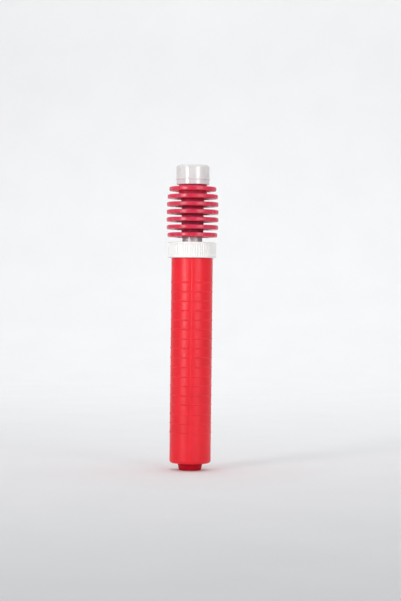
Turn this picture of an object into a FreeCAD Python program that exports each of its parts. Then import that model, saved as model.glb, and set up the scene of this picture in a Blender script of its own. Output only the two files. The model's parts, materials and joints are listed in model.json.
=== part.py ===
import FreeCAD, Part
import math
import os

import Sketcher

# Double-action ball pump, closed and standing on its foot.
# +Z runs up the pump's axis, from the foot plug to the cap, and -Y is the front. Millimetres.
#
# The barrel (plug, gland and collar with it) stays still. The plunger (piston, hollow rod and finned
# grip) slides up out of it. Both strokes push air up the hollow rod to the outlet socket, under the cap.

OUT = "parts"
FIN_COUNT = 7
RIB_ROWS = 17
KNURL_COUNT = 60
PORT_COUNT = 4
SPRING_TURNS = 5
RIDGE_CREST = 0.4  # the share of a rib's or the seam's width that its crest keeps
WIDEST_FIN = 0.43  # how far up the grip its widest place is, as a share of the fins' height

# The driving dimensions: one cell of the sheet each, in millimetres.
DIMENSIONS = {
    # barrel and its foot
    "barrel_radius": 13.5,
    "barrel_wall": 1.8,
    "barrel_edge": 1.8,
    "foot_height": 4.7,
    "floor_thickness": 2.4,
    "foot_top_radius": 8.25,
    "foot_radius": 7.2,
    "foot_edge": 1.0,
    "foot_recess_radius": 4.6,
    "foot_recess_depth": 0.6,
    "spigot_radius": 4.0,
    "seat_height": 0.5,
    "shoulder_gap": 0.2,
    "ridge_sink": 0.2,
    "rib_first": 24.8,
    "rib_pitch": 6.11,
    "rib_width": 0.9,
    "rib_height": 0.28,
    "rib_gap": 1.35,
    "seam_width": 0.4,
    "seam_height": 0.12,
    # intake valve in the barrel's floor
    "air_port_radius": 0.65,
    "air_port_circle": 2.3,
    "vent_width": 2.0,
    "vent_reach": 0.5,
    "intake_stem_radius": 1.0,
    "intake_stem_depth": 4.8,
    "intake_disc_radius": 3.4,
    "intake_disc_thickness": 0.9,
    "intake_disc_play": 0.25,
    "intake_lift": 0.6,
    "intake_head_radius": 3.0,
    "intake_head_thickness": 1.0,
    "intake_head_edge": 0.5,
    # knurled collar and gland
    "collar_low": 138.5,
    "collar_height": 10.2,
    "collar_radius": 15.65,
    "collar_top_thickness": 2.0,
    "collar_hole_radius": 7.0,
    "collar_chamfer": 0.5,
    "collar_edge": 0.3,
    "knurl_depth": 0.42,
    "knurl_low": 1.1,
    "knurl_high": 9.0,
    "knurl_base": 1.05,
    "knurl_crest": 0.55,
    "thread_pitch": 2.4,
    "thread_turns": 1.75,
    "thread_depth": 0.6,
    "thread_base": 0.95,
    "thread_crest": 0.45,
    "thread_clearance": 0.1,
    "thread_start": 1.0,
    "gasket_thickness": 0.8,
    "gasket_gap": 0.05,
    "bush_gap": 0.15,
    "bush_flange": 1.2,
    "bush_length": 8.0,
    "seal_pocket_radius": 9.6,
    "seal_pocket_depth": 4.0,
    "seal_washer_thickness": 0.9,
    "seal_washer_play": 0.4,
    # rubber seals
    "seal_gap": 0.1,
    "seal_web": 1.2,
    "lip_tip": 0.65,
    "lip_root": 0.95,
    # rod and piston
    "rod_radius": 6.5,
    "rod_wall": 0.7,
    "rod_low": 16.2,
    "rod_high": 170.0,
    "rod_port_radius": 0.8,
    "rod_port_height": 26.3,
    "running_gap": 0.08,
    "piston_low": 11.2,
    "piston_radius": 11.4,
    "piston_land": 2.0,
    "groove_height": 3.0,
    "groove_radius": 8.5,
    "piston_boss_height": 6.0,
    "cup_thickness": 2.6,
    "ball_chamber_radius": 3.1,
    "sleeve_wall": 0.9,
    "sleeve_low": 23.6,
    "sleeve_length": 6.2,
    "bumper_thickness": 2.0,
    "stop_low": 22.0,
    "stop_thickness": 1.4,
    "stop_hole_radius": 1.1,
    "stop_hole_circle": 3.4,
    "stop_centre_hole": 0.9,
    # check valves
    "delivery_ball_radius": 2.5,
    "delivery_seat_radius": 1.8,
    "delivery_seat_height": 12.9,
    "outlet_ball_radius": 2.25,
    "outlet_seat_radius": 1.6,
    "outlet_seat_height": 173.0,
    "ball_gap": 0.05,
    "spring_wire": 0.45,
    "spring_radius": 1.5,
    # finned grip
    "closed_gap": 3.2,
    "grip_radius": 17.0,
    "crown_drop": 1.6,
    "fin_pitch": 5.0,
    "fin_thickness": 2.7,
    "fin_flare": 0.2,
    "fin_edge": 0.65,
    "core_radius": 7.2,
    "neck_radius": 9.2,
    "neck_height": 1.4,
    "spout_radius": 8.4,
    "spout_height": 6.5,
    "spout_chamfer": 0.4,
    "rod_gasket_thickness": 1.2,
    "rod_gasket_hole": 2.2,
    "outlet_chamber_radius": 2.9,
    # threaded outlet insert
    "insert_radius": 5.4,
    "insert_low": 182.0,
    "insert_floor": 1.6,
    "insert_proud": 0.3,
    "insert_hole_radius": 1.2,
    "socket_radius": 3.45,
    "socket_relief": 3.9,
    "socket_relief_height": 1.2,
    "socket_chamfer": 0.7,
    # cap
    "cap_gap": 0.1,
    "cap_height": 12.7,
    "cap_radius": 10.95,
    "cap_top_radius": 10.85,
    "cap_bead_radius": 11.15,
    "cap_bead_height": 1.2,
    "cap_bead_slope": 0.3,
    "cap_band_radius": 10.75,
    "cap_band_height": 3.0,
    "cap_wall": 1.4,
    "cap_grip_radius": 8.7,
    "cap_edge": 1.8,
    "cap_foot_edge": 0.35,
}

doc = FreeCAD.newDocument("ball_pump")


class Size:
    """A length: its number now, and the expression that keeps it bound to the sheet's cells."""

    def __init__(self, value, text):
        self.value = value
        self.text = text

    def joined(self, sign, other, value):
        other_text = other.text if isinstance(other, Size) else repr(other)
        return Size(value, f"({self.text} {sign} {other_text})")

    def __add__(self, other):
        return self.joined("+", other, self.value + number(other))

    def __sub__(self, other):
        return self.joined("-", other, self.value - number(other))

    def __mul__(self, other):
        return self.joined("*", other, self.value * number(other))

    def __truediv__(self, other):
        return self.joined("/", other, self.value / number(other))

    def __neg__(self):
        return Size(-self.value, f"(-1 * {self.text})")


def number(size):
    return size.value if isinstance(size, Size) else float(size)


def square_root(size):
    return Size(math.sqrt(size.value), f"sqrt({size.text})")


def make_sheet():
    """The spreadsheet, and a Size for each of its cells."""
    sheet = doc.addObject("Spreadsheet::Sheet", "Sheet")
    sizes = {}
    for row, (alias, value) in enumerate(DIMENSIONS.items(), start=1):
        sheet.set(f"A{row}", alias)
        sheet.set(f"B{row}", str(value))
        sheet.setAlias(f"B{row}", alias)
        sizes[alias] = Size(value, f"Sheet.{alias}")
    doc.recompute()
    return sizes


S = make_sheet()
ZERO = Size(0.0, "0")

# Heights and radii that several pieces share.
BORE = S["barrel_radius"] - S["barrel_wall"]
FLOOR_TOP = S["foot_height"] + S["floor_thickness"]
INTAKE_SEAT = FLOOR_TOP + S["seat_height"]
INTAKE_DISC_LOW = INTAKE_SEAT + S["ball_gap"]
INTAKE_STOP = INTAKE_DISC_LOW + S["intake_disc_thickness"] + S["intake_lift"] + S["running_gap"]
COLLAR_TOP = S["collar_low"] + S["collar_height"]
COLLAR_CEILING = COLLAR_TOP - S["collar_top_thickness"]
BUSH_SHOULDER = COLLAR_CEILING - S["bush_flange"]
BARREL_MOUTH = BUSH_SHOULDER - S["gasket_thickness"]
BARREL_SHOULDER = S["collar_low"] - S["shoulder_gap"]
THREAD_CORE = S["barrel_radius"] - S["thread_depth"] - S["bush_gap"]
COLLAR_BORE = THREAD_CORE + S["thread_depth"] + S["thread_clearance"]
THREAD_LOW = S["collar_low"] + S["thread_start"]
ROD_BORE = S["rod_radius"] - S["rod_wall"]
GRIP_LOW = COLLAR_TOP + S["closed_gap"]
TOP_FIN = GRIP_LOW + S["fin_flare"] + S["fin_pitch"] * (FIN_COUNT - 1) + S["fin_thickness"]
NECK_TOP = TOP_FIN + S["neck_height"]
SPOUT_TOP = NECK_TOP + S["spout_height"]
GASKET_TOP = S["rod_high"] + S["rod_gasket_thickness"]
SOCKET_FLOOR = S["insert_low"] + S["insert_floor"]
CAP_LOW = NECK_TOP + S["cap_gap"]
CAP_TOP = CAP_LOW + S["cap_height"]


# ---------------------------------------------------------------- helpers


def new_body(label):
    body = doc.addObject("PartDesign::Body", label)
    body.Label = label
    return body


def origin_feature(body, role):
    """One of the body's own origin planes or axes."""
    return next(f for f in body.Origin.OriginFeatures if f.Role == role)


def flat_sketch(body, name, plane, height=None, turn=None):
    """A sketch on one of the body's origin planes, raised by height and turned about its own Y."""
    sketch = body.newObject("Sketcher::SketchObject", name)
    sketch.AttachmentSupport = (origin_feature(body, plane), [""])
    sketch.MapMode = "FlatFace"
    if turn is not None:
        turned = FreeCAD.Rotation(FreeCAD.Vector(0, 1, 0), turn)
        sketch.AttachmentOffset = FreeCAD.Placement(FreeCAD.Vector(), turned)
    if height is not None:
        sketch.setExpression("AttachmentOffset.Base.z", height.text)
    return sketch


def bind(sketch, kind, geometry, point, size):
    """Holds a point at a distance from the sketch's origin, bound to the sheet."""
    index = sketch.addConstraint(Sketcher.Constraint(kind, -1, 1, geometry, point, size.value))
    sketch.setExpression(f"Constraints[{index}]", size.text)


def outline(sketch, points):
    """A closed outline of straight lines, with both coordinates of every corner bound to the sheet."""
    corners = [FreeCAD.Vector(number(x), number(y), 0) for x, y in points]
    ends = corners[1:] + corners[:1]
    first = sketch.GeometryCount
    count = len(points)
    sketch.addGeometry([Part.LineSegment(a, b) for a, b in zip(corners, ends)], False)
    for i in range(count):
        after = first + (i + 1) % count
        sketch.addConstraint(Sketcher.Constraint("Coincident", first + i, 2, after, 1))
    for i, (x, y) in enumerate(points):
        bind(sketch, "DistanceX", first + i, 1, x)
        bind(sketch, "DistanceY", first + i, 1, y)


def circle(sketch, x, y, radius):
    centre = FreeCAD.Vector(number(x), number(y), 0)
    index = sketch.addGeometry(Part.Circle(centre, FreeCAD.Vector(0, 0, 1), number(radius)), False)
    bind(sketch, "DistanceX", index, 3, x)
    bind(sketch, "DistanceY", index, 3, y)
    held = sketch.addConstraint(Sketcher.Constraint("Radius", index, number(radius)))
    sketch.setExpression(f"Constraints[{held}]", radius.text)


def turned(label, points):
    """A body turned about Z from an outline of (radius, height) corners."""
    body = new_body(label)
    sketch = flat_sketch(body, label + "_outline", "XZ_Plane")
    outline(sketch, points)
    turn = body.newObject("PartDesign::Revolution", label + "_turn")
    turn.Profile = sketch
    turn.ReferenceAxis = (sketch, ["V_Axis"])
    turn.Angle = 360
    doc.recompute()
    return body


def ring(label, inner, outer, low, high):
    return turned(label, [(inner, low), (outer, low), (outer, high), (inner, high)])


def round_edges(shape, wanted):
    """Names of the full circular edges about Z at the wanted (radius, height) places."""
    names = []
    for i, edge in enumerate(shape.Edges, start=1):
        if not isinstance(edge.Curve, Part.Circle):
            continue
        if math.hypot(edge.Curve.Center.x, edge.Curve.Center.y) > 1e-6:
            continue
        for radius, height in wanted:
            near_radius = abs(edge.Curve.Radius - number(radius)) < 1e-4
            if near_radius and abs(edge.Curve.Center.z - number(height)) < 1e-4:
                names.append(f"Edge{i}")
    if len(names) < len(wanted):
        raise ValueError(f"found {len(names)} of {len(wanted)} edges to dress")
    return names


def dress(body, kind, size, places):
    """A Fillet or Chamfer on the circular edges at those places."""
    feature = body.newObject(f"PartDesign::{kind}", f"{body.Name}_{kind.lower()}")
    base = body.Tip if body.Tip != feature else feature.BaseFeature
    feature.Base = (base, round_edges(base.Shape, places))
    feature.setExpression("Radius" if kind == "Fillet" else "Size", size.text)
    body.Tip = feature
    doc.recompute()
    return feature


def polar(body, feature, count):
    pattern = body.newObject("PartDesign::PolarPattern", feature.Name + "_round")
    pattern.Originals = [feature]
    pattern.Axis = (origin_feature(body, "Z_Axis"), [""])
    pattern.Angle = 360
    pattern.Occurrences = count
    body.Tip = pattern
    doc.recompute()
    return pattern


def cut_through(body, name, sketch, forwards=False):
    """A pocket through everything on one side of the sketch, checked to have cut something."""
    before = body.Shape.Volume
    pocket = body.newObject("PartDesign::Pocket", name)
    pocket.Profile = sketch
    pocket.Type = "ThroughAll"
    pocket.Reversed = forwards
    doc.recompute()
    if body.Shape.Volume >= before - 1e-6:
        raise ValueError(f"{name} cuts nothing")
    return pocket


def holes_round(body, name, circle_radius, hole_radius, low):
    """A ring of holes parallel to Z, from height low upwards."""
    sketch = flat_sketch(body, name + "_sketch", "XY_Plane", height=low)
    circle(sketch, circle_radius, ZERO, hole_radius)
    pocket = cut_through(body, name, sketch, forwards=True)
    return polar(body, pocket, PORT_COUNT)


def radial_ports(body):
    """The ring of small ports from the upper chamber, through the piston's boss and the rod alike."""
    name = body.Name + "_port"
    sketch = flat_sketch(body, name + "_outline", "YZ_Plane")
    circle(sketch, ZERO, S["rod_port_height"], S["rod_port_radius"])
    polar(body, cut_through(body, name, sketch, forwards=True), PORT_COUNT)


def thread(body, inner, outer, low, base_on_inner):
    """A screw ridge between two radii, with its foot on the inner one or the outer one."""
    half_base = S["thread_base"] / 2
    half_crest = S["thread_crest"] / 2
    near, far = (inner, outer) if base_on_inner else (outer, inner)
    # the ridge's foot sinks a little into the wall that carries it
    sunk = near - S["ridge_sink"] if base_on_inner else near + S["ridge_sink"]
    sketch = flat_sketch(body, body.Name + "_thread_outline", "XZ_Plane")
    outline(
        sketch,
        [
            (sunk, low - half_base),
            (near, low - half_base),
            (far, low - half_crest),
            (far, low + half_crest),
            (near, low + half_base),
            (sunk, low + half_base),
        ],
    )
    ridge = body.newObject("PartDesign::AdditiveHelix", body.Name + "_thread")
    ridge.Profile = sketch
    ridge.ReferenceAxis = (sketch, ["V_Axis"])
    ridge.Mode = "pitch-turns-angle"
    ridge.setExpression("Pitch", S["thread_pitch"].text)
    ridge.setExpression("Turns", S["thread_turns"].text)
    doc.recompute()
    return ridge


# ---------------------------------------------------------------- barrel and foot


def barrel():
    """The moulded tube, with grip ribs, a mould seam front and back, and a thread for the collar."""
    body = turned(
        "barrel",
        [
            (S["spigot_radius"], S["foot_height"]),
            (S["barrel_radius"], S["foot_height"]),
            (S["barrel_radius"], BARREL_SHOULDER),
            (THREAD_CORE, BARREL_SHOULDER),
            (THREAD_CORE, BARREL_MOUTH),
            (BORE, BARREL_MOUTH),
            (BORE, FLOOR_TOP),
            (S["spigot_radius"], FLOOR_TOP),
        ],
    )
    dress(body, "Fillet", S["barrel_edge"], [(S["barrel_radius"], S["foot_height"])])
    thread(body, THREAD_CORE, THREAD_CORE + S["thread_depth"], THREAD_LOW, True)
    seam(body)
    barrel_ribs(body)
    return body


def seam(body):
    """The mould's parting seam: a fine raised line up the front and the back."""
    sketch = flat_sketch(body, "seam_outline", "XY_Plane", height=S["foot_height"] + S["barrel_edge"])
    half = S["seam_width"] / 2
    crest = half * RIDGE_CREST
    for side in (-1, 1):
        sunk = (S["barrel_radius"] - S["ridge_sink"]) * side
        proud = (S["barrel_radius"] + S["seam_height"]) * side
        outline(sketch, [(-half, sunk), (half, sunk), (crest, proud), (-crest, proud)])
    pad = body.newObject("PartDesign::Pad", "seam")
    pad.Profile = sketch
    length = BARREL_SHOULDER - S["foot_height"] - S["barrel_edge"]
    pad.setExpression("Length", length.text)
    doc.recompute()


def barrel_ribs(body):
    """Rows of fine grip ribs: each row is two arcs, left and right, that stop short of the seam."""
    half = S["rib_width"] / 2
    crest = half * RIDGE_CREST
    sunk = S["barrel_radius"] - S["ridge_sink"]
    proud = S["barrel_radius"] + S["rib_height"]
    arcs = []
    for name, turn in (("rib_right", 0), ("rib_left", 180)):
        sketch = flat_sketch(body, name + "_outline", "XZ_Plane", turn=turn)
        outline(
            sketch,
            [
                (sunk, S["rib_first"] - half),
                (S["barrel_radius"], S["rib_first"] - half),
                (proud, S["rib_first"] - crest),
                (proud, S["rib_first"] + crest),
                (S["barrel_radius"], S["rib_first"] + half),
                (sunk, S["rib_first"] + half),
            ],
        )
        arc = body.newObject("PartDesign::Revolution", name)
        arc.Profile = sketch
        arc.ReferenceAxis = (sketch, ["V_Axis"])
        arc.Midplane = True
        arc.setExpression("Angle", "180 - 2 * asin(Sheet.rib_gap / Sheet.barrel_radius) / 1deg")
        arcs.append(arc)
    doc.recompute()
    rows = body.newObject("PartDesign::LinearPattern", "rib_rows")
    rows.Originals = arcs
    rows.Direction = (origin_feature(body, "Z_Axis"), [""])
    rows.Mode = "Spacing"
    rows.setExpression("Offset", S["rib_pitch"].text)
    rows.Occurrences = RIB_ROWS
    body.Tip = rows
    doc.recompute()


def end_plug():
    """The foot plug: a tapered foot, a spigot through the barrel's floor, and the air intake's seat."""
    body = turned(
        "end_plug",
        [
            (ZERO, S["foot_recess_depth"]),
            (S["foot_recess_radius"], S["foot_recess_depth"]),
            (S["foot_recess_radius"], ZERO),
            (S["foot_radius"], ZERO),
            (S["foot_top_radius"], S["foot_height"]),
            (S["spigot_radius"], S["foot_height"]),
            (S["spigot_radius"], INTAKE_SEAT),
            (S["intake_stem_radius"], INTAKE_SEAT),
            (S["intake_stem_radius"], INTAKE_SEAT - S["intake_stem_depth"]),
            (ZERO, INTAKE_SEAT - S["intake_stem_depth"]),
        ],
    )
    dress(body, "Fillet", S["foot_edge"], [(S["foot_radius"], ZERO)])
    holes_round(body, "air_port", S["air_port_circle"], S["air_port_radius"], ZERO)
    vent(body)
    return body


def vent(body):
    """A groove across the back of the foot's rim, so air gets in while the foot stands on something."""
    sketch = flat_sketch(body, "vent_outline", "XY_Plane")
    half = S["vent_width"] / 2
    near = S["foot_recess_radius"] - S["vent_reach"]
    far = S["foot_top_radius"] + S["vent_reach"]
    outline(sketch, [(-half, near), (half, near), (half, far), (-half, far)])
    before = body.Shape.Volume
    groove = body.newObject("PartDesign::Pocket", "vent")
    groove.Profile = sketch
    groove.Reversed = True
    groove.setExpression("Length", S["foot_recess_depth"].text)
    doc.recompute()
    if body.Shape.Volume >= before:
        raise ValueError("the vent cuts nothing")


def intake_retainer():
    """The mushroom-headed stem that keeps the intake disc over its ports."""
    low = INTAKE_SEAT - S["intake_stem_depth"]
    top = INTAKE_STOP + S["intake_head_thickness"]
    body = turned(
        "intake_retainer",
        [
            (ZERO, low),
            (S["intake_stem_radius"], low),
            (S["intake_stem_radius"], INTAKE_STOP),
            (S["intake_head_radius"], INTAKE_STOP),
            (S["intake_head_radius"], top),
            (ZERO, top),
        ],
    )
    dress(body, "Fillet", S["intake_head_edge"], [(S["intake_head_radius"], top)])
    return body


def intake_disc():
    """The loose rubber disc that lets air into the lower chamber."""
    inner = S["intake_stem_radius"] + S["intake_disc_play"]
    high = INTAKE_DISC_LOW + S["intake_disc_thickness"]
    return ring("intake_disc", inner, S["intake_disc_radius"], INTAKE_DISC_LOW, high)


# ---------------------------------------------------------------- collar and gland


def collar():
    """The knurled screw collar that closes the barrel's mouth round the rod."""
    knurl_low = S["collar_low"] + S["knurl_low"]
    knurl_high = S["collar_low"] + S["knurl_high"]
    root = S["collar_radius"] - S["knurl_depth"]
    body = turned(
        "collar",
        [
            (COLLAR_BORE, S["collar_low"]),
            (S["collar_radius"], S["collar_low"]),
            (S["collar_radius"], knurl_low),
            (root, knurl_low),
            (root, knurl_high),
            (S["collar_radius"], knurl_high),
            (S["collar_radius"], COLLAR_TOP),
            (S["collar_hole_radius"], COLLAR_TOP),
            (S["collar_hole_radius"], COLLAR_CEILING),
            (COLLAR_BORE, COLLAR_CEILING),
        ],
    )
    dress(body, "Chamfer", S["collar_chamfer"], [(S["collar_radius"], COLLAR_TOP)])
    edges = [(S["collar_radius"], S["collar_low"]), (S["collar_hole_radius"], COLLAR_TOP)]
    dress(body, "Fillet", S["collar_edge"], edges)
    thread(body, COLLAR_BORE - S["thread_depth"], COLLAR_BORE, THREAD_LOW + S["thread_pitch"] / 2, False)
    sketch = flat_sketch(body, "knurl_outline", "XY_Plane", height=knurl_low - S["ridge_sink"])
    base = S["knurl_base"] / 2
    crest = S["knurl_crest"] / 2
    sunk = root - S["ridge_sink"]
    outline(
        sketch,
        [(sunk, -base), (root, -base), (S["collar_radius"], -crest),
         (S["collar_radius"], crest), (root, base), (sunk, base)],
    )
    rib = body.newObject("PartDesign::Pad", "knurl")
    rib.Profile = sketch
    rib.setExpression("Length", (knurl_high - knurl_low + S["ridge_sink"] * 2).text)
    doc.recompute()
    polar(body, rib, KNURL_COUNT)
    return body


def gland_bush():
    """The guide bush that the rod slides in, with a pocket for the rod's seal."""
    bore = S["rod_radius"] + S["running_gap"]
    low = COLLAR_CEILING - S["bush_length"]
    outer = BORE - S["bush_gap"]
    flange = THREAD_CORE - S["bush_gap"]
    pocket = COLLAR_CEILING - S["seal_pocket_depth"]
    return turned(
        "gland_bush",
        [
            (bore, low),
            (outer, low),
            (outer, BUSH_SHOULDER),
            (flange, BUSH_SHOULDER),
            (flange, COLLAR_CEILING),
            (S["seal_pocket_radius"], COLLAR_CEILING),
            (S["seal_pocket_radius"], pocket),
            (bore, pocket),
        ],
    )


def mouth_gasket():
    inner = BORE + S["gasket_gap"]
    return ring("mouth_gasket", inner, THREAD_CORE - S["gasket_gap"], BARREL_MOUTH, BUSH_SHOULDER)


def u_section(inner, outer, lips, back):
    """The outline of a U-shaped seal, with its lips' ends at one height and its flat back at another."""
    web = back - S["seal_web"] if number(back) > number(lips) else back + S["seal_web"]
    return [
        (inner, lips),
        (inner + S["lip_tip"], lips),
        (inner + S["lip_root"], web),
        (outer - S["lip_root"], web),
        (outer - S["lip_tip"], lips),
        (outer, lips),
        (outer, back),
        (inner, back),
    ]


def rod_seal():
    """The U-shaped lip seal round the rod. Its lips face down, into the upper chamber."""
    inner = S["rod_radius"] + S["running_gap"]
    outer = S["seal_pocket_radius"] - S["seal_gap"]
    low = COLLAR_CEILING - S["seal_pocket_depth"] + S["seal_gap"]
    high = COLLAR_CEILING - S["seal_washer_thickness"]
    return turned("rod_seal", u_section(inner, outer, low, high))


def seal_washer():
    inner = S["rod_radius"] + S["seal_washer_play"]
    outer = S["seal_pocket_radius"] - S["seal_gap"]
    return ring("seal_washer", inner, outer, COLLAR_CEILING - S["seal_washer_thickness"], COLLAR_CEILING)


# ---------------------------------------------------------------- piston and rod


def groove_low(index):
    """The height of the lower side of a piston groove, 0 for the lower groove and 1 for the upper."""
    return S["piston_low"] + S["piston_land"] + (S["piston_land"] + S["groove_height"]) * index


def piston_body():
    """The piston: three lands, two seal grooves, a socket for the rod, and the lower valve's seat."""
    top = groove_low(1) + S["groove_height"] + S["piston_land"]
    boss = S["groove_radius"] - S["seal_gap"]
    outer = [(S["delivery_seat_radius"], S["piston_low"]), (S["piston_radius"], S["piston_low"])]
    for index in range(2):
        low = groove_low(index)
        high = low + S["groove_height"]
        outer += [(S["piston_radius"], low), (S["groove_radius"], low)]
        outer += [(S["groove_radius"], high), (S["piston_radius"], high)]
    outer += [(S["piston_radius"], top), (boss, top), (boss, top + S["piston_boss_height"])]
    inner = [
        (S["rod_radius"], top + S["piston_boss_height"]),
        (S["rod_radius"], S["rod_low"]),
        (S["ball_chamber_radius"], S["rod_low"]),
        (S["ball_chamber_radius"], S["delivery_seat_height"]),
        (S["delivery_seat_radius"], S["delivery_seat_height"]),
    ]
    body = turned("piston_body", outer + inner)
    radial_ports(body)
    return body


def bumper_ring():
    """The rubber ring round the rod that cushions the top of the stroke against the gland."""
    low = groove_low(1) + S["groove_height"] + S["piston_land"] + S["piston_boss_height"]
    return ring("bumper_ring", S["rod_radius"], S["groove_radius"], low, low + S["bumper_thickness"])


def piston_cup(label, index, lips_up):
    """A rubber U-cup in one of the piston's grooves. Its lips face the chamber that it seals."""
    inner = S["groove_radius"] + S["seal_gap"]
    outer = BORE - S["running_gap"]
    low = groove_low(index) + (S["groove_height"] - S["cup_thickness"]) / 2
    high = low + S["cup_thickness"]
    lips, back = (high, low) if lips_up else (low, high)
    return turned(label, u_section(inner, outer, lips, back))


def rod_tube():
    """The hollow rod, with ports that take in air from the upper chamber."""
    body = ring("rod_tube", ROD_BORE, S["rod_radius"], S["rod_low"], S["rod_high"])
    radial_ports(body)
    return body


def port_sleeve():
    """The rubber sleeve inside the rod that opens inwards over the ports."""
    high = S["sleeve_low"] + S["sleeve_length"]
    return ring("port_sleeve", ROD_BORE - S["sleeve_wall"], ROD_BORE, S["sleeve_low"], high)


def spring_stop():
    """The pierced disc that the lower valve's spring pushes against."""
    low = S["stop_low"]
    body = ring("spring_stop", S["stop_centre_hole"], ROD_BORE, low, low + S["stop_thickness"])
    holes_round(body, "stop_hole", S["stop_hole_circle"], S["stop_hole_radius"], low - S["stop_thickness"])
    return body


# ---------------------------------------------------------------- check valves


def ball_centre(seat_height, seat_radius, ball_radius):
    rise = square_root(ball_radius * ball_radius - seat_radius * seat_radius)
    return seat_height + rise + S["ball_gap"]


def ball(label, radius, centre):
    sphere = doc.addObject("Part::Sphere", label)
    sphere.Label = label
    sphere.setExpression("Radius", radius.text)
    sphere.setExpression("Placement.Base.z", centre.text)
    return sphere


def spring(label, radius, centre, stop):
    """A coil spring from just above a ball to the stop over it, swept along a helix."""
    wire = S["spring_wire"] / 2
    reach = radius + wire + S["ball_gap"]
    low = centre + square_root(reach * reach - S["spring_radius"] * S["spring_radius"])
    height = stop - wire - S["ball_gap"] - low
    helix = doc.addObject("Part::Helix", label + "_line")
    helix.setExpression("Radius", S["spring_radius"].text)
    helix.setExpression("Height", height.text)
    helix.setExpression("Pitch", (height / SPRING_TURNS).text)
    helix.setExpression("Placement.Base.z", low.text)
    section = doc.addObject("Part::Circle", label + "_section")
    section.setExpression("Radius", wire.text)
    section.Placement = FreeCAD.Placement(FreeCAD.Vector(), FreeCAD.Rotation(FreeCAD.Vector(1, 0, 0), 90))
    section.setExpression("Placement.Base.x", S["spring_radius"].text)
    section.setExpression("Placement.Base.z", low.text)
    coil = doc.addObject("Part::Sweep", label)
    coil.Label = label
    coil.Sections = [section]
    coil.Spine = (helix, [])
    coil.Solid = True
    coil.Frenet = True
    return coil


def valves():
    delivery = ball_centre(S["delivery_seat_height"], S["delivery_seat_radius"], S["delivery_ball_radius"])
    outlet = ball_centre(S["outlet_seat_height"], S["outlet_seat_radius"], S["outlet_ball_radius"])
    return [
        ball("delivery_ball", S["delivery_ball_radius"], delivery),
        spring("delivery_spring", S["delivery_ball_radius"], delivery, S["stop_low"]),
        ball("outlet_ball", S["outlet_ball_radius"], outlet),
        spring("outlet_spring", S["outlet_ball_radius"], outlet, S["insert_low"]),
    ]


# ---------------------------------------------------------------- grip and outlet


def fin_radius(index):
    """The fins' rims follow a barrel shape: widest near the middle, and falling off by a cube."""
    middle = (FIN_COUNT - 1) * WIDEST_FIN
    share = abs(index - middle) / (FIN_COUNT - 1 - middle)
    return S["grip_radius"] - S["crown_drop"] * round(share**3, 4)


def core_radius(gap):
    """The core between two fins: slim below, and flaring out to the neck over the top two gaps."""
    share = max(0.0, min(1.0, (gap - 3) / 2))
    return S["core_radius"] + (S["neck_radius"] - S["core_radius"]) * round(share**2.5, 4)


def grip():
    """The finned hand grip: a core with thin fins, a neck, and the spout under the cap."""
    fins = []
    rims = []
    for index in range(FIN_COUNT):
        low = GRIP_LOW + S["fin_flare"] + S["fin_pitch"] * index
        high = low + S["fin_thickness"]
        rim = fin_radius(index)
        fins += [(core_radius(index - 1), low - S["fin_flare"]), (rim, low)]
        fins += [(rim, high), (core_radius(index), high + S["fin_flare"])]
        rims += [(rim, low), (rim, high)]
    inner = [
        (S["neck_radius"], NECK_TOP),
        (S["spout_radius"], NECK_TOP),
        (S["spout_radius"], SPOUT_TOP),
        (S["insert_radius"], SPOUT_TOP),
        (S["insert_radius"], S["insert_low"]),
        (S["outlet_chamber_radius"], S["insert_low"]),
        (S["outlet_chamber_radius"], S["outlet_seat_height"]),
        (S["outlet_seat_radius"], S["outlet_seat_height"]),
        (S["outlet_seat_radius"], GASKET_TOP),
        (S["rod_radius"], GASKET_TOP),
        (S["rod_radius"], GRIP_LOW),
    ]
    body = turned("grip", fins + inner)
    dress(body, "Fillet", S["fin_edge"], rims)
    dress(body, "Chamfer", S["spout_chamfer"], [(S["spout_radius"], SPOUT_TOP)])
    return body


def rod_gasket():
    outer = S["rod_radius"] - S["seal_gap"]
    return ring("rod_gasket", S["rod_gasket_hole"], outer, S["rod_high"], GASKET_TOP)


def outlet_insert():
    """The brass insert that a needle or a hose screws into."""
    top = SPOUT_TOP + S["insert_proud"]
    relief = SOCKET_FLOOR + S["socket_relief_height"]
    return turned(
        "outlet_insert",
        [
            (S["insert_hole_radius"], S["insert_low"]),
            (S["insert_radius"], S["insert_low"]),
            (S["insert_radius"], top),
            (S["socket_radius"] + S["socket_chamfer"], top),
            (S["socket_radius"], top - S["socket_chamfer"]),
            (S["socket_radius"], relief),
            (S["socket_relief"], relief),
            (S["socket_relief"], SOCKET_FLOOR),
            (S["insert_hole_radius"], SOCKET_FLOOR),
        ],
    )


def outlet_washer():
    inner = S["insert_hole_radius"] + S["seal_gap"]
    outer = S["socket_relief"] - S["seal_gap"]
    high = SOCKET_FLOOR + S["socket_relief_height"] - S["seal_gap"]
    return ring("outlet_washer", inner, outer, SOCKET_FLOOR, high)


def cap():
    """The push-on cap: a slightly tapered shell with a bead near its foot, over a band that grips."""
    band = CAP_LOW + S["cap_band_height"]
    bead_top = band + S["cap_bead_height"]
    inner = S["cap_top_radius"] - S["cap_wall"]
    roof = CAP_TOP - S["cap_wall"]
    body = turned(
        "cap",
        [
            (S["cap_grip_radius"], CAP_LOW),
            (S["cap_band_radius"], CAP_LOW),
            (S["cap_band_radius"], band),
            (S["cap_bead_radius"], band + S["cap_bead_slope"]),
            (S["cap_bead_radius"], bead_top - S["cap_bead_slope"]),
            (S["cap_radius"], bead_top),
            (S["cap_top_radius"], CAP_TOP),
            (ZERO, CAP_TOP),
            (ZERO, roof),
            (inner, roof),
            (inner, band + S["cap_bead_slope"] * 2),
            (S["cap_grip_radius"], band),
        ],
    )
    dress(body, "Fillet", S["cap_edge"], [(S["cap_top_radius"], CAP_TOP)])
    dress(body, "Fillet", S["cap_foot_edge"], [(S["cap_band_radius"], CAP_LOW)])
    return body


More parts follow.
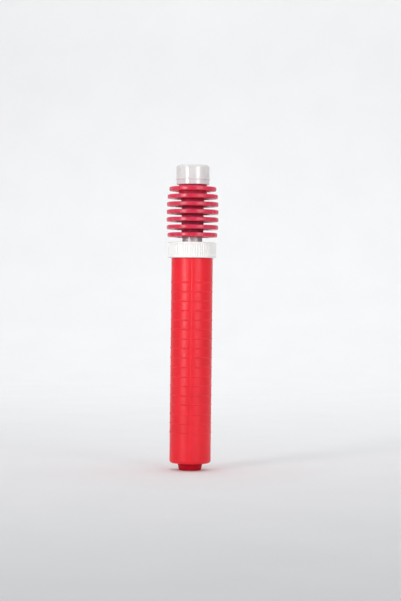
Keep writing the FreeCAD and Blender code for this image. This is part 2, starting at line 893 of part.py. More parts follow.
# ---------------------------------------------------------------- build and write


def build():
    pieces = [barrel(), end_plug(), intake_retainer(), intake_disc()]
    pieces += [collar(), gland_bush(), mouth_gasket(), rod_seal(), seal_washer()]
    pieces += [piston_cup("lower_piston_cup", 0, False), piston_cup("upper_piston_cup", 1, True)]
    pieces += [piston_body(), bumper_ring(), rod_tube(), port_sleeve(), spring_stop()]
    pieces += valves()
    pieces += [grip(), rod_gasket(), outlet_insert(), outlet_washer(), cap()]
    doc.recompute()
    return pieces


def check(pieces):
    for thing in doc.Objects:
        if "Invalid" in thing.State or "Error" in thing.State:
            raise ValueError(f"{thing.Name} failed: {thing.State}")
    for piece in pieces:
        shape = piece.Shape
        if shape.isNull() or not shape.isValid() or not shape.Solids:
            raise ValueError(f"{piece.Label} has no valid solid")


def main():
    pieces = build()
    check(pieces)
    os.makedirs(OUT, exist_ok=True)
    for piece in pieces:
        piece.Shape.exportStep(os.path.join(OUT, piece.Label + ".step"))
        print(f"{piece.Label:20s} {piece.Shape.Volume:9.1f} mm3  {len(piece.Shape.Solids)} solid")


main()
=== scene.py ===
import json
import math

import bmesh
import bpy
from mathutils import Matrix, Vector


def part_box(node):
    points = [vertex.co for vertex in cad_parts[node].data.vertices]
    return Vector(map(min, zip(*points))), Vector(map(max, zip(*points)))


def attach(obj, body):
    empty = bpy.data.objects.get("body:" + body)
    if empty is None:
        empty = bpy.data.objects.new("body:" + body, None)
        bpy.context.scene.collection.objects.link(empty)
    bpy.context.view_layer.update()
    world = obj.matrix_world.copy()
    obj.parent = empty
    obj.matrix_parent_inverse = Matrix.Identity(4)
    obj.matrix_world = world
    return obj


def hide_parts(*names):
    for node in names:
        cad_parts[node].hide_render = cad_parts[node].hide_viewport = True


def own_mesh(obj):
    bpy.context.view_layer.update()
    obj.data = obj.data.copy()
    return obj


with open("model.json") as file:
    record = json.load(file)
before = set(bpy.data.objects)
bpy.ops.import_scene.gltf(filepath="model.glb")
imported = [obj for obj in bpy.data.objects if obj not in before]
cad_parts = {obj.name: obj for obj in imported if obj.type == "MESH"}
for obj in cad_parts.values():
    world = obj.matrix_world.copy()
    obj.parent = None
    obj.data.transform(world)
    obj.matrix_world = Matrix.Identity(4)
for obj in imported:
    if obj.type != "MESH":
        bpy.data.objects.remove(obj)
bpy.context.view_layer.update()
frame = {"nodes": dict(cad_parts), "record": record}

# A closed ball pump standing on its foot. The outer mouldings, the brass socket and the two valve springs are
# new meshes, and the foot gets two mould lines. The other CAD nodes keep their shape and get materials.
# Everything is in metres: MM turns millimetre values into them.

MM = 0.001
NODES = frame["nodes"]
SLOT_OF = {entry["node"]: entry["material_slot"] for entry in frame["record"]["subparts"]}
SAME = 1e-7  # radii closer than this, in metres, count as equal


def low(node):
    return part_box(node)[0].z


def high(node):
    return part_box(node)[1].z


def radius(node):
    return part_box(node)[1].x


# ---------------------------------------------------------------- profiles and turned meshes


def rounded(corners, steps=5):
    """A closed (radius, height) outline whose corners (radius, height, fillet) are rounded by arcs.

    Just outside each arc comes one more point, which keeps the flat beside it flat when shaded smooth.
    """
    points = []
    count = len(corners)
    for i, (r, z, fillet) in enumerate(corners):
        here = Vector((r, z))
        if fillet <= 0:
            points.append((r, z))
            continue
        before = Vector(corners[i - 1][:2]) - here
        after = Vector(corners[(i + 1) % count][:2]) - here
        before_length = before.length
        after_length = after.length
        before.normalize()
        after.normalize()
        half = before.angle(after) / 2
        reach = fillet / math.tan(half)
        centre = here + (before + after).normalized() * (fillet / math.sin(half))
        start = here + before * reach
        end = here + after * reach
        guard = min(fillet * 0.5, before_length * 0.2, after_length * 0.2)
        points.append(tuple(here + before * (reach + guard)))
        first = (start - centre).normalized()
        last = (end - centre).normalized()
        turn = first.angle(last)
        for step in range(steps + 1):
            share = step / steps
            if turn > 1e-6:
                a = math.sin((1 - share) * turn) / math.sin(turn)
                b = math.sin(share * turn) / math.sin(turn)
            else:
                a, b = 1 - share, share
            points.append(tuple(centre + (first * a + last * b) * fillet))
        points.append(tuple(here + after * (reach + guard)))
    return points


def insert_heights(outline, r, heights):
    """Adds points at these heights to the outline's long straight stretch at radius r."""
    spans = []
    for i, (here, there) in enumerate(zip(outline, outline[1:])):
        if abs(here[0] - r) < SAME and abs(there[0] - r) < SAME:
            spans.append((abs(there[1] - here[1]), i))
    index = max(spans)[1]
    start, end = outline[index][1], outline[index + 1][1]
    inside = [z for z in heights if min(start, end) + 1e-6 < z < max(start, end) - 1e-6]
    if end < start:
        inside.reverse()
    return outline[: index + 1] + [(r, z) for z in inside] + outline[index + 1 :]


def even_angles(count):
    return [2 * math.pi * i / count for i in range(count)]


def turned(name, outline, angles, shape=None):
    """A closed mesh turned about Z. shape(r, z, angle) may change the radius of a point."""
    verts = []
    faces = []
    rings = []
    for r, z in outline:
        if r < SAME:
            rings.append([len(verts)])
            verts.append((0.0, 0.0, z))
            continue
        ring = []
        for angle in angles:
            there = shape(r, z, angle) if shape else r
            ring.append(len(verts))
            verts.append((there * math.cos(angle), there * math.sin(angle), z))
        rings.append(ring)
    count = len(angles)
    for i, here in enumerate(rings):
        there = rings[(i + 1) % len(rings)]
        if len(here) == 1 and len(there) == 1:
            continue
        for k in range(count):
            m = (k + 1) % count
            if len(here) == 1:
                faces.append((here[0], there[m], there[k]))
            elif len(there) == 1:
                faces.append((here[k], here[m], there[0]))
            else:
                faces.append((here[k], here[m], there[m], there[k]))
    return solid(name, verts, faces)


def solid(name, verts, faces):
    """A smooth-shaded object from a closed set of faces, all turned outwards."""
    mesh = bpy.data.meshes.new(name)
    mesh.from_pydata(verts, [], faces)
    work = bmesh.new()
    work.from_mesh(mesh)
    bmesh.ops.recalc_face_normals(work, faces=work.faces)
    work.to_mesh(mesh)
    work.free()
    mesh.polygons.foreach_set("use_smooth", [True] * len(mesh.polygons))
    piece = bpy.data.objects.new(name, mesh)
    bpy.context.scene.collection.objects.link(piece)
    return piece


def smooth(edge0, edge1, value):
    share = min(1.0, max(0.0, (value - edge0) / (edge1 - edge0)))
    return share * share * (3 - 2 * share)


def thread(z, angle, start, pitch, width):
    """0 to 1: how high a right-handed screw ridge of that width stands at this height and angle."""
    phase = (z - start) / pitch - angle / (2 * math.pi)
    away = abs(phase - round(phase)) * pitch
    return 1 - smooth(width * 0.25, width * 0.5, away)


# ---------------------------------------------------------------- materials


EDGE_POINTINESS = (0.53, 0.60)
HOLLOW_POINTINESS = (0.48, 0.42)


class Shader:
    """A material's node tree, with short calls for the nodes used here."""

    def __init__(self, name, **sockets):
        self.material = bpy.data.materials.new(name)
        self.material.use_nodes = True
        self.tree = self.material.node_tree
        self.surface = self.tree.nodes["Principled BSDF"]
        for socket, value in sockets.items():
            self.surface.inputs[socket.replace("_", " ")].default_value = value
        self.place = self.tree.nodes.new("ShaderNodeTexCoord").outputs["Object"]

    def node(self, kind, inputs=(), **settings):
        made = self.tree.nodes.new(kind)
        for setting, value in settings.items():
            setattr(made, setting, value)
        for socket, value in dict(inputs).items():
            if isinstance(value, bpy.types.NodeSocket):
                self.tree.links.new(value, made.inputs[socket])
            else:
                made.inputs[socket].default_value = value
        return made

    def noise(self, scale, detail, stretch=(1, 1, 1)):
        """Noise from 0 to 1 in object space. Scale is in features per metre, times stretch on each axis."""
        place = self.place
        if stretch != (1, 1, 1):
            place = self.node("ShaderNodeMapping", {"Vector": place, "Scale": stretch}).outputs[0]
        inputs = {"Vector": place, "Scale": scale, "Detail": detail}
        return self.node("ShaderNodeTexNoise", inputs).outputs["Fac"]

    def band(self, value, from_low, from_high, to_low=0.0, to_high=1.0):
        """Maps a range onto another one, clamped."""
        inputs = {"Value": value, "From Min": from_low, "From Max": from_high}
        inputs.update({"To Min": to_low, "To Max": to_high})
        return self.node("ShaderNodeMapRange", inputs, interpolation_type="SMOOTHSTEP").outputs["Result"]

    def mix(self, factor, first, second):
        """A colour between two others. Sockets 6 and 7 and output 2 are the Mix node's colour ones."""
        inputs = {"Factor": factor, 6: first, 7: second}
        return self.node("ShaderNodeMix", inputs, data_type="RGBA").outputs[2]

    def math(self, operation, first, second):
        return self.node("ShaderNodeMath", {0: first, 1: second}, operation=operation).outputs[0]

    def from_axis(self):
        """Distance from the object's Z axis, in metres."""
        inputs = {0: self.place, 1: (1, 1, 0)}
        flat = self.node("ShaderNodeVectorMath", inputs, operation="MULTIPLY").outputs[0]
        return self.node("ShaderNodeVectorMath", {0: flat}, operation="LENGTH").outputs["Value"]

    def edges(self):
        """1 on raised edges and 0 elsewhere."""
        return self.band(self.node("ShaderNodeNewGeometry").outputs["Pointiness"], *EDGE_POINTINESS)

    def hollows(self):
        """1 in grooves and inner corners and 0 elsewhere."""
        return self.band(self.node("ShaderNodeNewGeometry").outputs["Pointiness"], *HOLLOW_POINTINESS)

    def bump(self, layers):
        """Adds up bump layers, each (height, distance in metres, strength)."""
        normal = None
        for height, distance, strength in layers:
            inputs = {"Height": height, "Distance": distance, "Strength": strength}
            if normal is not None:
                inputs["Normal"] = normal
            normal = self.node("ShaderNodeBump", inputs).outputs["Normal"]
        self.tree.links.new(normal, self.surface.inputs["Normal"])

    def feed(self, socket, value):
        self.tree.links.new(value, self.surface.inputs[socket])


def grey(value):
    return (value, value, value, 1.0)


def moulded(name, colour, paler_and_highlight, dull_and_shade, gloss=(0.24, 0.36), peel=0.5, matte_core=None, **sockets):
    """Injection-moulded plastic: cloudy colour, flow marks, paler rubbed edges with a painted highlight,
    painted shade in grooves, orange peel.

    Nearer to the Z axis than matte_core the mould wasn't polished, so the surface there is matt.
    """
    shader = Shader(name, **sockets)
    cloud = shader.band(shader.noise(70, 4), 0.3, 0.7)
    flow = shader.band(shader.noise(120, 3, stretch=(1, 1, 0.12)), 0.35, 0.7)
    scuffs = shader.band(shader.noise(900, 2, stretch=(1, 1, 0.05)), 0.60, 0.72)
    specks = shader.band(shader.noise(2600, 2), 0.66, 0.74)
    base = shader.mix(shader.math("MULTIPLY", cloud, 0.5), colour, dull_and_shade)
    base = shader.mix(shader.math("MULTIPLY", flow, 0.25), base, paler_and_highlight)
    # Painted shade: grooves and inner corners are mixed towards the darker colour.
    base = shader.mix(shader.math("MULTIPLY", shader.hollows(), 0.55), base, dull_and_shade)
    # Raised edges are mixed towards the paler colour: partly rubbed wear, partly a painted highlight along
    # ribs and ridges.
    base = shader.mix(shader.math("MULTIPLY", shader.edges(), 0.45), base, paler_and_highlight)
    base = shader.mix(shader.math("MULTIPLY", specks, 0.10), base, dull_and_shade)
    shader.feed("Base Color", base)
    rough = shader.band(shader.noise(260, 4), 0.3, 0.7, *gloss)
    rough = shader.math("ADD", rough, shader.math("MULTIPLY", scuffs, 0.10))
    if matte_core:
        core = shader.band(shader.from_axis(), matte_core, matte_core * 1.25, 0.4, 0.0)
        rough = shader.math("ADD", rough, core)
    shader.feed("Roughness", rough)
    peel_height = shader.noise(1500, 2)
    wave_height = shader.noise(110, 2)
    shader.bump([(wave_height, 0.02 * MM, 0.3), (peel_height, 0.006 * MM, peel), (scuffs, -0.003 * MM, 0.4)])
    return shader.material


def metal(name, colour, dark, gloss, grain, grain_scale, **sockets):
    """Bare metal with a grain of fine lines, a light patchy tarnish and bright rubbed edges."""
    shader = Shader(name, Metallic=1.0, **sockets)
    lines = shader.noise(grain_scale, 2, stretch=grain)
    patches = shader.band(shader.noise(160, 4), 0.35, 0.75)
    base = shader.mix(shader.math("MULTIPLY", patches, 0.45), colour, dark)
    base = shader.mix(shader.band(lines, 0.45, 0.75, 0.0, 0.25), base, dark)
    base = shader.mix(shader.math("MULTIPLY", shader.edges(), 0.4), base, grey(0.92))
    shader.feed("Base Color", base)
    rough = shader.math("ADD", shader.band(lines, 0.3, 0.7, *gloss), shader.math("MULTIPLY", patches, 0.08))
    shader.feed("Roughness", rough)
    shader.bump([(lines, 0.006 * MM, 0.5), (shader.noise(300, 3), 0.02 * MM, 0.2)])
    return shader.material


def rubber(name):
    shader = Shader(name, Specular_IOR_Level=0.4)
    bloom = shader.band(shader.noise(500, 4), 0.4, 0.8)
    base = shader.mix(bloom, (0.018, 0.018, 0.019, 1), (0.045, 0.044, 0.042, 1))
    base = shader.mix(shader.math("MULTIPLY", shader.edges(), 0.5), base, (0.09, 0.088, 0.085, 1))
    shader.feed("Base Color", base)
    shader.feed("Roughness", shader.band(bloom, 0, 1, 0.5, 0.72))
    shader.bump([(shader.noise(2500, 3), 0.02 * MM, 0.4)])
    return shader.material


def milky(name):
    """Natural polyethylene: light scatters inside it. Grooves and inner corners are greyer, which is painted
    shade, and rubbed raised edges are lighter.
    """
    shader = Shader(
        name,
        Subsurface_Weight=0.3,
        Subsurface_Radius=(0.0013, 0.0012, 0.0011),
        Subsurface_Scale=1.0,
        IOR=1.54,
        Specular_IOR_Level=0.75,
    )
    cloud = shader.band(shader.noise(180, 4), 0.3, 0.7)
    flow = shader.band(shader.noise(90, 4, stretch=(1, 1, 0.3)), 0.4, 0.7)
    base = shader.mix(cloud, (0.69, 0.665, 0.66, 1), (0.65, 0.62, 0.615, 1))
    base = shader.mix(shader.math("MULTIPLY", flow, 0.35), base, (0.74, 0.715, 0.71, 1))
    # Painted shade: grooves and inner corners are mixed towards a darker grey.
    base = shader.mix(shader.math("MULTIPLY", shader.hollows(), 0.3), base, (0.50, 0.46, 0.45, 1))
    base = shader.mix(shader.math("MULTIPLY", shader.edges(), 0.3), base, (0.78, 0.76, 0.75, 1))
    shader.feed("Base Color", base)
    scuffs = shader.band(shader.noise(1400, 2, stretch=(1, 0.08, 1)), 0.6, 0.72)
    rough = shader.band(shader.noise(420, 4), 0.3, 0.7, 0.11, 0.19)
    shader.feed("Roughness", shader.math("ADD", rough, shader.math("MULTIPLY", scuffs, 0.12)))
    shader.bump([(shader.noise(140, 2), 0.03 * MM, 0.3), (shader.noise(1800, 2), 0.006 * MM, 0.5)])
    return shader.material


MATERIALS = {
    "barrel_red": moulded(
        "barrel_red", (0.83, 0.010, 0.023, 1), (0.90, 0.030, 0.048, 1), (0.68, 0.006, 0.015, 1),
        gloss=(0.32, 0.44), Coat_Weight=0.05, Coat_Roughness=0.25, Specular_IOR_Level=0.34,
    ),
    # The foot's red is a darker copy of the barrel's red, which paints in the shade under the barrel.
    "foot_red": moulded(
        "foot_red", (0.49, 0.001, 0.014, 1), (0.74, 0.020, 0.050, 1), (0.36, 0.001, 0.009, 1),
        gloss=(0.42, 0.54), Specular_IOR_Level=0.10,
    ),
    # The grip's red is its crimson made pinker, which paints in a pale sheen on the fins' fronts.
    "grip_red": moulded(
        "grip_red", (0.63, 0.038, 0.088, 1), (0.76, 0.09, 0.15, 1), (0.60, 0.012, 0.045, 1),
        gloss=(0.18, 0.28), matte_core=10 * MM, Specular_IOR_Level=0.36,
        Subsurface_Weight=0.7, Subsurface_Radius=(0.0100, 0.0006, 0.0012), Subsurface_Scale=1.0,
    ),
    "collar_white": moulded(
        "collar_white", (0.86, 0.84, 0.82, 1), (0.93, 0.92, 0.90, 1), (0.82, 0.80, 0.78, 1),
        gloss=(0.34, 0.46), peel=0.7,
        Subsurface_Weight=0.08, Subsurface_Radius=(0.0012, 0.0010, 0.0009), Subsurface_Scale=1.0,
    ),
    "guide_plastic": moulded(
        "guide_plastic", (0.78, 0.77, 0.73, 1), (0.88, 0.87, 0.84, 1), (0.62, 0.60, 0.56, 1),
        gloss=(0.36, 0.5),
    ),
    "cap_natural": milky("cap_natural"),
    # The rod's rosy tint is a painted reflection of the red grip, and its darkness is partly its own grey
    # tone, partly painted shade between grip and collar.
    "rod_steel": metal(
        "rod_steel", (0.165, 0.092, 0.104, 1), (0.11, 0.063, 0.07, 1),
        gloss=(0.40, 0.54), grain=(1, 1, 0.01), grain_scale=4200, Anisotropic=0.3,
    ),
    "brass": metal(
        "brass", (0.80, 0.56, 0.24, 1), (0.45, 0.28, 0.10, 1),
        gloss=(0.22, 0.36), grain=(0.05, 0.05, 1), grain_scale=5200,
    ),
    "steel": metal(
        "steel", (0.62, 0.62, 0.62, 1), (0.36, 0.36, 0.37, 1),
        gloss=(0.16, 0.30), grain=(1, 1, 1), grain_scale=2400,
    ),
    "black_rubber": rubber("black_rubber"),
}


def finish_with(piece, slot):
    piece.data.materials.clear()
    piece.data.materials.append(MATERIALS[slot])


def stand_for(piece, node, body):
    """Gives a new piece its node's material, body and material slot, and hides the node."""
    slot = SLOT_OF[node]
    finish_with(piece, slot)
    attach(piece, body)
    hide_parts(node)


# ---------------------------------------------------------------- barrel

WALL = 1.8 * MM
BARREL_RADIUS = 13.5 * MM
BARREL_ROUND = 1.8 * MM
BARREL_STEPS = 76
SHOULDER_GAP = 0.2 * MM
NECK_RADIUS = 12.75 * MM
NECK_ROWS = 36
FLOOR = 2.4 * MM
SPIGOT = 4.0 * MM
RIB_ROWS = 17
RIB_FIRST = 24.8 * MM
RIB_PITCH = 6.11 * MM
RIB_HALF = 0.55 * MM
RIB_HEIGHT = 0.28 * MM
RIB_GAP = 1.35 * MM
RIB_FADE = 0.45 * MM
SEAM_HALF = 0.22 * MM
SEAM_HEIGHT = 0.11 * MM
SEAM_START = 1.9 * MM
SEAM_FADE = 0.6 * MM
THREAD_PITCH = 2.4 * MM
THREAD_START = 1.0 * MM
THREAD_TURNS = 1.75
THREAD_HEIGHT = 0.55 * MM
THREAD_WIDTH = 1.1 * MM


def thread_height(z, angle, start):
    """How far the thread between barrel and collar stands out of its wall. It fades at both ends."""
    turns = (z - start) / THREAD_PITCH
    fade = smooth(-0.2, 0.1, turns) * (1 - smooth(THREAD_TURNS, THREAD_TURNS + 0.3, turns))
    return THREAD_HEIGHT * fade * thread(z, angle, start, THREAD_PITCH, THREAD_WIDTH)


def barrel_angles():
    """Even steps round each side, and closer ones over the seams and the ribs' ends."""
    near = [0, SEAM_HALF * 0.5, SEAM_HALF, SEAM_HALF * 2, RIB_GAP * 0.7]
    near += [RIB_GAP + RIB_FADE * i / 4 for i in range(5)]
    away = [x / BARREL_RADIUS for x in near]
    span = math.pi - 2 * away[-1]
    side = away + [away[-1] + span * (i + 1) / BARREL_STEPS for i in range(BARREL_STEPS)]
    side += [math.pi - a for a in away[-2:0:-1]]
    return [a - math.pi / 2 + half for half in (0, math.pi) for a in side]


def barrel():
    bottom = low("barrel")
    mouth = high("barrel")
    shoulder = low("collar") - SHOULDER_GAP
    seam_low = bottom + SEAM_START
    thread_low = low("collar") + THREAD_START
    outer = [(SPIGOT, bottom, 0), (BARREL_RADIUS, bottom, BARREL_ROUND), (BARREL_RADIUS, shoulder, 0.25 * MM)]
    outer += [(NECK_RADIUS, shoulder, 0), (NECK_RADIUS, mouth, 0.2 * MM)]
    bore = BARREL_RADIUS - WALL
    inner = [(bore, mouth, 0.2 * MM), (bore, bottom + FLOOR, 0.8 * MM), (SPIGOT, bottom + FLOOR, 0)]
    outline = rounded(outer + inner, 6)
    ribs = [RIB_FIRST + RIB_PITCH * row for row in range(RIB_ROWS)]
    heights = [rib + RIB_HALF * step / 4 for rib in ribs for step in range(-5, 6)]
    heights += [ribs[0] - RIB_PITCH * i / 2 for i in range(1, 5)]
    heights += [ribs[-1] + RIB_PITCH * i / 2 for i in range(1, 5)]
    heights += [rib + RIB_PITCH / 2 for rib in ribs[:-1]]
    neck = [shoulder + (mouth - shoulder) * i / NECK_ROWS for i in range(1, NECK_ROWS)]
    outline = insert_heights(outline, BARREL_RADIUS, sorted(heights))
    outline = insert_heights(outline, NECK_RADIUS, neck)

    def shape(r, z, angle):
        if abs(r - BARREL_RADIUS) > SAME and abs(r - NECK_RADIUS) > SAME:
            return r
        if abs(r - NECK_RADIUS) < SAME:
            return r + thread_height(z, angle, thread_low)
        across = abs(r * math.cos(angle))
        row = min(RIB_ROWS - 1, max(0, round((z - RIB_FIRST) / RIB_PITCH)))
        away = abs(z - RIB_FIRST - RIB_PITCH * row) / RIB_HALF
        rib = 0.5 + 0.5 * math.cos(math.pi * away) if away < 1 else 0.0
        r += RIB_HEIGHT * rib * smooth(RIB_GAP, RIB_GAP + RIB_FADE, across)
        seam = 1 - smooth(0, SEAM_HALF, across)
        return r + SEAM_HEIGHT * seam * smooth(seam_low, seam_low + SEAM_FADE, z)

    stand_for(turned("barrel_shell", outline, barrel_angles(), shape), "barrel", "barrel")


# ---------------------------------------------------------------- foot seam

FOOT_RADIUS = 7.2 * MM
FOOT_SEAM_LOW = 0.9 * MM
FOOT_SEAM_HALF = 0.50 * MM
FOOT_SEAM_HEIGHT = 0.30 * MM
FOOT_SEAM_SINK = 0.06 * MM
FOOT_SEAM_ROWS = 8
FOOT_SEAM_STEPS = 6


def foot_seam(name, side):
    """The mould line on the front (side -1) or back (side 1) of the tapered foot, which stays a CAD mesh."""
    top = low("barrel")
    heights = [FOOT_SEAM_LOW + (top - FOOT_SEAM_LOW) * i / FOOT_SEAM_ROWS for i in range(FOOT_SEAM_ROWS + 1)]
    steps = range(-FOOT_SEAM_STEPS, FOOT_SEAM_STEPS + 1)
    section = [(i / FOOT_SEAM_STEPS, math.cos(math.pi / 2 * i / FOOT_SEAM_STEPS)) for i in steps]
    verts = []
    for z in heights:
        r = FOOT_RADIUS + (radius("end_plug") - FOOT_RADIUS) * z / top
        for across, rise in section:
            x = FOOT_SEAM_HALF * across
            out = math.sqrt(r * r - x * x) + (FOOT_SEAM_HEIGHT + FOOT_SEAM_SINK) * rise - FOOT_SEAM_SINK
            verts.append((x, side * out, z))
    count = len(section)
    last = len(verts) - count
    faces = [tuple(range(count)), tuple(range(last, last + count))]
    for row in range(len(heights) - 1):
        here = row * count
        for k in range(count):
            m = (k + 1) % count
            faces.append((here + k, here + m, here + count + m, here + count + k))
    piece = solid(name, verts, faces)
    finish_with(piece, SLOT_OF["end_plug"])
    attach(piece, "barrel")


# ---------------------------------------------------------------- collar

KNURL_COUNT = 60
KNURL_DEPTH = 0.42 * MM
KNURL_LOW = 1.1 * MM
KNURL_HIGH = 9.0 * MM
KNURL_FADE = 0.35 * MM
KNURL_ROW = 0.7 * MM
KNURL_STEPS = 14
THREAD_ROWS = 30
COLLAR_BORE = 13.45 * MM
COLLAR_HOLE = 7.0 * MM
COLLAR_TOP = 2.0 * MM
COLLAR_CHAMFER = 0.5 * MM


def collar():
    bottom = low("collar")
    top = high("collar")
    rim = radius("collar")
    ceiling = top - COLLAR_TOP
    thread_low = low("collar") + THREAD_START + THREAD_PITCH / 2
    corners = [
        (COLLAR_BORE, bottom, 0.2 * MM),
        (rim, bottom, 0.35 * MM),
        (rim, top - COLLAR_CHAMFER, 0.3 * MM),
        (rim - COLLAR_CHAMFER, top, 0.35 * MM),
        (COLLAR_HOLE, top, 0.3 * MM),
        (COLLAR_HOLE, ceiling, 0.1 * MM),
        (COLLAR_BORE, ceiling, 0.2 * MM),
    ]
    outline = rounded(corners, 4)
    ends = [KNURL_LOW + KNURL_FADE * i / 3 for i in range(4)]
    ends += [KNURL_HIGH - KNURL_FADE * i / 3 for i in range(4)]
    middle = [KNURL_LOW + KNURL_FADE + KNURL_ROW * i for i in range(1, 10)]
    outline = insert_heights(outline, rim, sorted(bottom + z for z in ends + middle))
    inside = [bottom + (ceiling - bottom) * i / THREAD_ROWS for i in range(1, THREAD_ROWS)]
    outline = insert_heights(outline, COLLAR_BORE, inside)

    def shape(r, z, angle):
        if abs(r - COLLAR_BORE) < SAME:
            return r - thread_height(z, angle, thread_low)
        if abs(r - rim) > SAME:
            return r
        ends = smooth(0, KNURL_FADE, z - bottom - KNURL_LOW) * smooth(0, KNURL_FADE, bottom + KNURL_HIGH - z)
        turn = angle * KNURL_COUNT / (2 * math.pi)
        away = abs(turn - round(turn)) * 2
        return r - KNURL_DEPTH * ends * smooth(0.30, 0.72, away)

    angles = even_angles(KNURL_COUNT * KNURL_STEPS)
    stand_for(turned("collar_knurled", outline, angles, shape), "collar", "barrel")


# ---------------------------------------------------------------- valve springs

WIRE_RADIUS = 0.225 * MM
SPRING_TURNS = 5
SPRING_STEPS = 36
WIRE_SIDES = 10


def valve_spring(name, node):
    """A coil that runs from its node's lower end, on the ball under it, up to the stop above."""
    coil_radius = radius(node) - WIRE_RADIUS
    start = low(node) + WIRE_RADIUS
    height = high(node) - WIRE_RADIUS - start
    climb = math.atan2(height / SPRING_TURNS, 2 * math.pi * coil_radius)
    count = SPRING_TURNS * SPRING_STEPS
    verts = []
    for step in range(count + 1):
        angle = 2 * math.pi * step / SPRING_STEPS
        outward = Vector((math.cos(angle), math.sin(angle), 0))
        along = Vector((-math.sin(angle), math.cos(angle), 0))
        upward = Vector((0, 0, math.cos(climb))) - along * math.sin(climb)
        centre = outward * coil_radius + Vector((0, 0, start + height * step / count))
        for side in even_angles(WIRE_SIDES):
            verts.append(centre + (outward * math.cos(side) + upward * math.sin(side)) * WIRE_RADIUS)
    last = len(verts) - WIRE_SIDES
    faces = [tuple(range(WIRE_SIDES)), tuple(range(last, last + WIRE_SIDES))]
    for step in range(count):
        here = step * WIRE_SIDES
        for k in range(WIRE_SIDES):
            m = (k + 1) % WIRE_SIDES
            faces.append((here + k, here + m, here + WIRE_SIDES + m, here + WIRE_SIDES + k))
    piece = solid(name, verts, faces)
    stand_for(piece, node, "plunger")
    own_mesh(piece)


# ---------------------------------------------------------------- grip

FIN_COUNT = 7
FIN_PITCH = 5.0 * MM
FIN_THICKNESS = 2.7 * MM
FIN_FLARE = 0.2 * MM
FIN_EDGE = 0.65 * MM
WIDEST_FIN = 0.43
CROWN_DROP = 1.6 * MM
CORE_RADIUS = 7.2 * MM
GRIP_NECK = 9.2 * MM
NECK_HEIGHT = 1.4 * MM
SPOUT_RADIUS = 8.4 * MM


def fin_radius(index):
    middle = (FIN_COUNT - 1) * WIDEST_FIN
    share = abs(index - middle) / (FIN_COUNT - 1 - middle)
    return radius("grip") - CROWN_DROP * share**3


def core_radius(gap):
    share = max(0.0, min(1.0, (gap - 3) / 2))
    return CORE_RADIUS + (GRIP_NECK - CORE_RADIUS) * share**2.5


def grip():
    bottom = low("grip")
    top = high("grip")
    corners = []
    for index in range(FIN_COUNT):
        fin_low = bottom + FIN_FLARE + FIN_PITCH * index
        fin_high = fin_low + FIN_THICKNESS
        rim = fin_radius(index)
        root = 0.35 * MM if index else 0.1 * MM
        corners += [(core_radius(index - 1), fin_low - FIN_FLARE, root), (rim, fin_low, FIN_EDGE)]
        corners += [(rim, fin_high, FIN_EDGE), (core_radius(index), fin_high + FIN_FLARE, 0.35 * MM)]
    neck_top = fin_high + NECK_HEIGHT
    socket = radius("outlet_insert")
    corners += [
        (GRIP_NECK, neck_top, 0.25 * MM),
        (SPOUT_RADIUS, neck_top, 0.15 * MM),
        (SPOUT_RADIUS, top, 0.5 * MM),
        (socket, top, 0),
        (socket, low("outlet_insert"), 0),
        (radius("rod_tube"), high("rod_tube"), 0),
        (radius("rod_tube"), bottom, 0.15 * MM),
    ]
    outline = rounded(corners, 6)
    stand_for(turned("grip_finned", outline, even_angles(160)), "grip", "plunger")


# ---------------------------------------------------------------- outlet insert

SOCKET_RADIUS = 3.45 * MM
SOCKET_THREAD = 0.794 * MM
SOCKET_THREAD_DEPTH = 0.36 * MM
SOCKET_CHAMFER = 0.7 * MM
SOCKET_ROWS = 96
INSERT_FLOOR = 1.6 * MM
INSERT_HOLE = 1.2 * MM


def outlet_insert():
    bottom = low("outlet_insert")
    top = high("outlet_insert")
    rim = radius("outlet_insert")
    floor = bottom + INSERT_FLOOR
    corners = [
        (INSERT_HOLE, bottom, 0.1 * MM),
        (rim, bottom, 0.2 * MM),
        (rim, top, 0.3 * MM),
        (SOCKET_RADIUS + SOCKET_CHAMFER, top, 0.12 * MM),
        (SOCKET_RADIUS, top - SOCKET_CHAMFER, 0),
        (SOCKET_RADIUS, floor, 0),
        (INSERT_HOLE, floor, 0.1 * MM),
    ]
    outline = rounded(corners, 4)
    thread_high = top - SOCKET_CHAMFER
    inside = [floor + (thread_high - floor) * i / SOCKET_ROWS for i in range(1, SOCKET_ROWS)]
    outline = insert_heights(outline, SOCKET_RADIUS, inside)

    def shape(r, z, angle):
        if abs(r - SOCKET_RADIUS) > SAME:
            return r
        groove = thread(z, angle, floor, SOCKET_THREAD, SOCKET_THREAD * 1.6)
        ends = smooth(floor, floor + SOCKET_THREAD, z) * (1 - smooth(thread_high - 0.2 * MM, thread_high, z))
        return r + SOCKET_THREAD_DEPTH * groove * ends

    stand_for(turned("outlet_socket", outline, even_angles(96), shape), "outlet_insert", "plunger")


# ---------------------------------------------------------------- cap

CAP_WALL = 1.4 * MM
CAP_BAND_RADIUS = 10.75 * MM
CAP_BAND_HEIGHT = 3.0 * MM
CAP_BEAD_HEIGHT = 1.2 * MM
CAP_RADIUS = 10.95 * MM
CAP_TOP_RADIUS = 10.85 * MM
CAP_GRIP_RADIUS = 8.7 * MM
GATE_RADIUS = 1.4 * MM
GATE_DEPTH = 0.18 * MM


